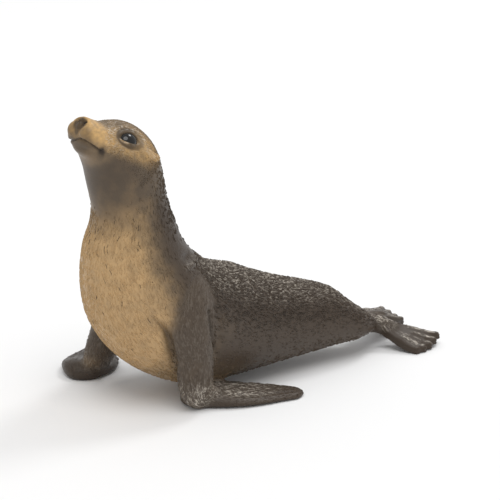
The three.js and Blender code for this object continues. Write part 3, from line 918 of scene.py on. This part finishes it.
def stroke_piece(name, roots, normals, taken, sizes):
    """Strokes as one mesh: each is the shape above, laid along the coat, stood off along the normal, and bent
    sideways by the square of its share of the length. The crests carry the dry-brushing, some much and some
    little, the edges and keels the painted shade of the coat's hollows, and a few strokes are painted dark
    all over as painted shade of engraved dashes, though they stand out like the rest."""
    count = len(roots)
    length, width, height = (size[:, None] for size in sizes)
    lie = unit(taken["lie"] - normals * np.sum(taken["lie"] * normals, 1, keepdims=True))
    lie = unit(lie + np.cross(normals, lie) * 0.28 * random.standard_normal((count, 1)))
    side = np.cross(normals, lie)
    bend = 0.9 * random.standard_normal((count, 1)).clip(-1.6, 1.6)
    along, aside, up = STROKE_POINTS.T
    aside = aside * width + bend * width * along**2 * 2.5
    shape = np.stack([along * length, aside, up * height], -1)
    points = roots[:, None] + shape @ np.stack([lie, side, normals], 1)
    points[..., 2] = np.maximum(points[..., 2], 0.02)
    corners = len(STROKE_POINTS)
    faces = (STROKE_FACES + corners * np.arange(count)[:, None, None]).reshape(-1, 3)
    mesh = mesh_of(name, in_frame(points.reshape(-1, 3)), faces)
    body, ring, high = body_places(taken)
    # a few strokes, more on the neck, are painted deep brown all over: painted shade of engraved dashes
    neck = body * band(ring, 7.8, 9.5, 10.5, 12.5) * (high < 0.4)
    dark_painted_dashes = random.random(count) < 0.015 + 0.05 * neck
    deep_and_shade, brushed, wash = taken["accents"].T
    brushed = brushed * (0.25 + 0.9 * random.random(count)) + 0.06 * random.random(count)
    brushed = (brushed * ~dark_painted_dashes)[:, None] * STROKE_CREST
    # the strokes' edges and keels carry the painted shade of the coat's hollows
    wash = wash[:, None] * (1 - STROKE_CREST)
    deep_and_shade = np.where(dark_painted_dashes, 0.75, deep_and_shade)[:, None] + 0 * wash
    write(mesh, "paint", np.repeat(taken["paint"], corners, 0))
    write(mesh, "accents", np.stack([deep_and_shade, brushed, wash], -1).reshape(-1, 3))
    write(mesh, "combed", np.repeat(taken["combed"], corners, 0))
    place = (unwrap(taken)[:, None] + PATCH * STROKE_POINTS[:, 1::-1] * (0.9, 1)).reshape(-1, 2)
    place = place[faces.ravel()].astype(np.float32)
    mesh.uv_layers.new(name="OFBake").uv.foreach_set("vector", place.ravel())
    smooth(mesh)
    return add_object(name, mesh)


def make_coat(points, faces, found):
    """The strokes as pieces, parted along the animal so that each stays small."""
    roots, normals, taken = scattered(points, faces, normals_of(points, faces), found)
    stands, *sizes = fur_sizes(roots, taken)
    body, ring, _ = body_places(taken)
    rear = roots[:, 1] > 20
    left = roots[:, 0] > 0

    def stretch(first, last):
        """The roots on the body from one ring up to another."""
        return body & (ring >= first) & (ring < last)

    parts = {
        "coat_head": (stretch(0, 8), "tan_fur"),
        "coat_neck": (stretch(8, 11.5), "brown_fur"),
        "coat_chest_left": (stretch(11.5, 15.5) & left, "tan_fur"),
        "coat_chest_right": (stretch(11.5, 15.5) & ~left, "tan_fur"),
        "coat_ribs": (stretch(15.5, 17.5), "back_fur"),
        "coat_trunk": (stretch(17.5, 19.5), "back_fur"),
        "coat_rump": (stretch(19.5, RING_COUNT), "back_fur"),
        "coat_foreflippers": (~body & ~rear, "flipper_skin"),
        "coat_hind_flippers": (~body & rear, "flipper_skin"),
    }
    pieces = []
    for name, (here, slot) in parts.items():
        here = here & stands
        picked = {key: values[here] for key, values in taken.items()}
        piece = stroke_piece(name, roots[here], normals[here], picked, [size[here] for size in sizes])
        pieces.append(piece)
    return pieces


# -------- materials
def linear(hex_colour):
    """An sRGB hex colour as linear red, green, blue and alpha."""
    value = np.array([int(hex_colour[i : i + 2], 16) / 255 for i in (1, 3, 5)])
    return (*np.where(value <= 0.04045, value / 12.92, ((value + 0.055) / 1.055) ** 2.4).tolist(), 1.0)


def node(tree, kind, sockets=None, **settings):
    """Adds a node with its settings and gives its outputs. A socket's value is a number, a colour or the
    output linked to it."""
    made = tree.nodes.new("ShaderNode" + kind)
    for name, value in settings.items():
        setattr(made, name, value)
    for key, value in (sockets or {}).items():
        if isinstance(value, bpy.types.NodeSocket):
            tree.links.new(value, made.inputs[key])
        else:
            made.inputs[key].default_value = value
    return made.outputs


def new_material(name):
    """An empty material and its node tree."""
    material = bpy.data.materials.new(name)
    material.use_nodes = True
    material.node_tree.nodes.clear()
    return material, material.node_tree


def surface(tree, sockets):
    """Ends the tree in one principled shader with those sockets set."""
    shader = node(tree, "BsdfPrincipled", sockets)[0]
    node(tree, "OutputMaterial", {"Surface": shader})


def carried(tree, attribute):
    """The three numbers that each vertex carries under that name."""
    vector = node(tree, "Attribute", attribute_name=attribute)["Vector"]
    return node(tree, "SeparateXYZ", {0: vector})


def noise(tree, place, scale, detail):
    """Clouds 1 / scale across, with finer ones in them as the detail rises."""
    sockets = {"Vector": place, "Scale": scale, "Detail": detail}
    return node(tree, "TexNoise", sockets)["Fac"]


def mapped(tree, value, low, high, to_low, to_high):
    """The stretch from low to high drawn out to the one from to_low to to_high, and held within it."""
    sockets = {"Value": value, 1: low, 2: high, 3: to_low, 4: to_high}
    return node(tree, "MapRange", sockets)[0]


def maths(tree, a, operation, b):
    """A sum or a product, held between 0 and 1."""
    return node(tree, "Math", {0: a, 1: b}, operation=operation, use_clamp=True)[0]


# The paints, in the order in which they are laid on.
BASE_COAT = "#6c5d4a"  # grey-brown acrylic over the whole moulding
TAN_SPRAY = "#bb9a6e"  # airbrushed on the chest, the belly and the crown
DARK_SPRAY_AND_SHADE = "#44392f"  # airbrushed on the back, the throat and the flippers; under the head it is partly painted shade
GOLD_SPRAY = "#c9a36c"  # airbrushed on the muzzle and the cheeks
HOLLOW_SHADE = "#43382e"  # brown in the hollows of the coat and at the strokes' edges: painted shade
DEEP_BROWN_AND_SHADE = "#33291f"  # brushed on the nose, into the folds and round the eyes; painted shade in the creases, on the muzzle's front, on the right foreflipper and on a few dark strokes
DRY_BRUSH = "#c0b7aa"  # pale grey that an almost dry brush leaves on the crests
LATER_PAINTS = (TAN_SPRAY, DARK_SPRAY_AND_SHADE, GOLD_SPRAY, HOLLOW_SHADE, DEEP_BROWN_AND_SHADE, DRY_BRUSH)


def painted_pvc(name):
    """Soft PVC in airbrushed acrylics under a satin varnish. It gives the eye colours that fade into each
    other and are a little blotchy, a dark brown between the strokes that is painted shade, a light
    dry-brushing on the crests, and a soft sheen broken by the grain of the moulded coat."""
    material, tree = new_material(name)
    tan, dark, gold = carried(tree, "paint")
    deep_and_shade, brushed, furred = carried(tree, "accents")
    place = node(tree, "TexCoord")["Object"]
    # clouds 3 mm across in the sprayed tan
    tan = maths(tree, tan, "ADD", mapped(tree, noise(tree, place, 330.0, 3.0), 0.3, 0.7, -0.2, 0.2))
    # blotches 0.9 mm across, which break up the golden paint
    gold = maths(tree, gold, "MULTIPLY", mapped(tree, noise(tree, place, 1100.0, 2.0), 0.35, 0.65, 0.6, 1.12))
    # streaks of the coat, 0.3 mm wide and 1.2 mm long, which follow it
    combed = node(tree, "Attribute", attribute_name="combed")["Vector"]
    combed = node(tree, "Mapping", {"Vector": combed, "Scale": (3.2, 3.2, 0.8)})[0]
    streak = noise(tree, combed, 1.0, 1.5)
    # the low parts of the streaks take the brown of the hollows: painted shade
    hollow = maths(tree, mapped(tree, streak, 0.52, 0.36, 0.06, 0.45), "MULTIPLY", furred)
    crest = maths(tree, mapped(tree, streak, 0.5, 0.62, 0.08, 1.0), "MULTIPLY", brushed)
    colour = linear(BASE_COAT)
    for over, share in zip(LATER_PAINTS, (tan, dark, gold, hollow, deep_and_shade, crest)):
        # in a mix of colours, socket 6 is the one under and socket 7 the one over
        colour = node(tree, "Mix", {"Factor": share, 6: colour, 7: linear(over)}, data_type="RGBA")[2]
    # a grain 0.4 mm across in the varnish, and the streaks as relief
    grain = {"Strength": 0.5, "Distance": 0.06 * MM, "Height": noise(tree, place, 2600.0, 2.0)}
    streak = maths(tree, streak, "MULTIPLY", furred)
    grain = node(tree, "Bump", grain)[0]
    relief = {"Strength": 0.7, "Distance": 0.16 * MM, "Height": streak, "Normal": grain}
    relief = node(tree, "Bump", relief)[0]
    surface(tree, {"Base Color": colour, "Normal": relief, "Roughness": 0.4, "Specular IOR Level": 0.3})
    return material


def plain(name, colour, roughness):
    """One even colour, whose sheen varies a little in clouds 1 mm across."""
    material, tree = new_material(name)
    place = node(tree, "TexCoord")["Object"]
    rough = mapped(tree, noise(tree, place, 900.0, 2.0), 0, 1, 0.8 * roughness, 1.2 * roughness)
    surface(tree, {"Base Color": linear(colour), "Roughness": rough})
    return material


# -------- eyes and claws
def eyeball(side):
    """A ball about the eye's outward axis: rows are circles about the axis from its outer pole inwards."""
    out, back, up, _, ball = eye_axes(side)
    down = np.linspace(0, np.pi, 49)[:, None, None]
    turn = np.linspace(0, 2 * np.pi, 64, endpoint=False)[None, :, None]
    points = np.cos(down) * out + np.sin(down) * (np.cos(turn) * back + np.sin(turn) * up)
    return closed_loft(ball + EYE_RADIUS * points)


def claws(sizes):
    """A short claw on the top of each of the three middle digits, a little before its tip."""
    made = []
    for digit in (1, 2, 3):
        rings = []
        for t, half, high in CLAW_RINGS:
            x, y, z, _, thick, _ = through(digit_rings(sizes, digit), np.array(t))
            rings.append((x, y, z + thick + 0.02, half, high, 0.35))
        made.append(closed_loft(limb(rings, 0, (0, 0, 1), (0.3, 0.3), (16, 16), 0)["points"]))
    return made


def joined(name, solids):
    """Several solids, each as points and triangles, in one mesh in the frame."""
    starts = np.cumsum([0] + [len(points) for points, _ in solids[:-1]])
    points = np.concatenate([points for points, _ in solids])
    faces = np.concatenate([faces + start for (_, faces), start in zip(solids, starts)])
    mesh = mesh_of(name, in_frame(points), faces)
    smooth(mesh)
    return add_object(name, mesh)


# -------- assembly
skin, points, faces, found = make_skin()
for name in ("paint", "accents"):
    write(skin.data, name, found[name])
skin.data.materials.append(painted_pvc("painted_pvc_skin"))
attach(skin, "root")
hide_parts(*[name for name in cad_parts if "eye" not in name])

coat_paint = painted_pvc("painted_pvc_fur")
for piece in make_coat(points, faces, found):
    piece.data.materials.append(coat_paint)
    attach(piece, "root")

# A drop of black gloss enamel, which mirrors the lights as small sharp spots.
gloss = plain("gloss_enamel_eye", "#0b0a0a", 0.06)
for side, name in ((1, "left_eye"), (-1, "right_eye")):
    ball = joined(name + "ball", [eyeball(side)])
    ball.data.materials.append(gloss)
    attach(ball, "root")
    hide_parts(name)

# The claws are touched with pale grey acrylic, which dries to a satin.
horn = plain("painted_pvc_claws", "#8a8378", 0.45)
claw_piece = joined("claws", claws(LEFT_HIND) + claws(RIGHT_HIND))
claw_piece.data.materials.append(horn)
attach(claw_piece, "root")

# -------- floor, world and lights
FLOOR_HALF = 4.0  # metres
SKY_STRENGTH = 0.68
LIGHT_DISTANCE = 0.8  # metres

corners = FLOOR_HALF * np.array([(-1, -1, 0), (1, -1, 0), (1, 1, 0), (-1, 1, 0)])
floor = add_object("floor", mesh_of("floor", corners, np.array([(0, 1, 2, 3)])))
floor.data.materials.append(plain("white_sweep", "#f4f4f4", 0.9))  # matt white card
world = bpy.data.worlds.new("studio")
bpy.context.scene.world = world
world.use_nodes = True
sky = world.node_tree.nodes["Background"].inputs
sky["Color"].default_value = (1, 1, 1, 1)
sky["Strength"].default_value = SKY_STRENGTH
key = bpy.data.lights.new("key", "SUN")  # a broad soft light from high on the animal's left
key.energy = 1.1
key.angle = math.radians(40)
window = bpy.data.lights.new("window", "AREA")  # a weaker one over the back, which lifts the strokes there
window.energy = 1.2
window.size = 0.2
for light, way in ((key, (0.35, -0.22, 0.91)), (window, (-0.02, 0.55, 0.83))):
    lamp = add_object(light.name, light)
    lamp.location = Vector(way) * LIGHT_DISTANCE
    lamp.rotation_euler = Vector(way).to_track_quat("Z", "Y").to_euler()
bpy.context.scene.view_settings.view_transform = "Standard"
